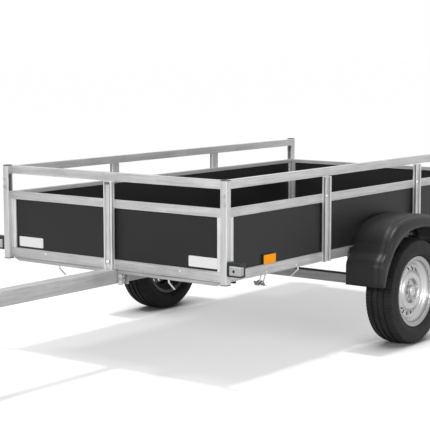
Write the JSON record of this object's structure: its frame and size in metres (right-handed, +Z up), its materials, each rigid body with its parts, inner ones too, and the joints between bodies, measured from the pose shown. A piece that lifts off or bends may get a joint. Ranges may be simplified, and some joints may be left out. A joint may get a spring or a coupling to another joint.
{
  "type": "utility trailer",
  "caption": "Single-axle utility trailer with black boards, a railing above them, plastic mudguards and a straight drawbar on a jockey wheel.",
  "frame": {"origin": "centre of the bounding box on the ground", "axes": "+X towards the coupling, +Y to the trailer's left, +Z up"},
  "size_m": [3.964, 1.854, 0.958],
  "materials": {
    "galvanised": "satin",
    "aluminium": "satin",
    "board_black": "textured",
    "black_plastic": "satin",
    "dark_steel": "satin",
    "wheel_silver": "gloss",
    "tyre_rubber": "matte",
    "zinc": "satin",
    "lens_clear": "gloss",
    "lens_orange": "gloss",
    "lens_red": "gloss"
  },
  "bodies": {
    "chassis": {"corner_posts": "aluminium", "post_caps": "black_plastic", "side_posts": "aluminium", "front_post": "aluminium", "bottom_rails": "aluminium", "board_rails": "aluminium", "top_rails": "aluminium", "rear_sill": "aluminium", "side_panel_left": "board_black", "side_panel_right": "board_black", "front_panel": "board_black", "board_edges": "aluminium", "floor": "board_black", "cross_members": "galvanised", "front_cross_member": "galvanised", "drawbar": "galvanised", "drawbar_brackets": "galvanised", "axle_beam": "galvanised", "axle_saddle": "galvanised", "axle_brackets": "galvanised", "axle_arms": "dark_steel", "mudguard_left": "black_plastic", "mudguard_right": "black_plastic", "mudguard_stays": "galvanised", "coupling_head": "zinc", "coupling_handle": "zinc", "jockey_clamp": "zinc", "tailgate_hinges": "zinc", "latch_keepers": "zinc", "front_lamps": "black_plastic", "front_lamp_lenses": "lens_clear", "side_reflectors": "lens_orange", "rear_lamps": "black_plastic", "rear_lamp_lenses": "lens_red", "tie_hooks": "zinc"},
    "wheel_left": {"tyre_left": "tyre_rubber", "wheel_disc_left": "wheel_silver", "hub_left": "dark_steel"},
    "wheel_right": {"tyre_right": "tyre_rubber", "wheel_disc_right": "wheel_silver", "hub_right": "dark_steel"},
    "tailgate": {"tailgate_frame": "aluminium", "tailgate_panel": "board_black", "tailgate_latches": "zinc"},
    "jockey_outer": {"jockey_outer_tube": "zinc", "jockey_crank": "zinc"},
    "jockey_inner": {"jockey_inner_tube": "zinc"},
    "jockey_caster": {"jockey_fork": "zinc"},
    "jockey_roller": {"jockey_wheel": "wheel_silver", "jockey_tyre": "tyre_rubber"}
  },
  "joints": [
    {"name": "wheel_left_spin", "type": "hinge", "parent": "chassis", "child": "wheel_left", "pos_m": [-0.745, 0.835, 0.2785], "axis": [0, 1, 0], "continuous": true},
    {"name": "wheel_right_spin", "type": "hinge", "parent": "chassis", "child": "wheel_right", "pos_m": [-0.745, -0.835, 0.2785], "axis": [0, 1, 0], "continuous": true},
    {"name": "tailgate_fold", "type": "hinge", "parent": "chassis", "child": "tailgate", "pos_m": [-1.931, 0, 0.539], "axis": [0, -1, 0], "range_deg": [0, 90]},
    {"name": "jockey_clamp_slide", "type": "slide", "parent": "chassis", "child": "jockey_outer", "axis": [0, 0, 1], "range_m": [-0.08, 0.08]},
    {"name": "jockey_screw_slide", "type": "slide", "parent": "jockey_outer", "child": "jockey_inner", "axis": [0, 0, 1], "range_m": [-0.1, 0.08]},
    {"name": "jockey_swivel", "type": "hinge", "parent": "jockey_inner", "child": "jockey_caster", "pos_m": [1.649, 0.072, 0.23], "axis": [0, 0, 1], "continuous": true},
    {"name": "jockey_roller_spin", "type": "hinge", "parent": "jockey_caster", "child": "jockey_roller", "pos_m": [1.607, 0.072, 0.1], "axis": [0, 1, 0], "continuous": true}
  ]
}
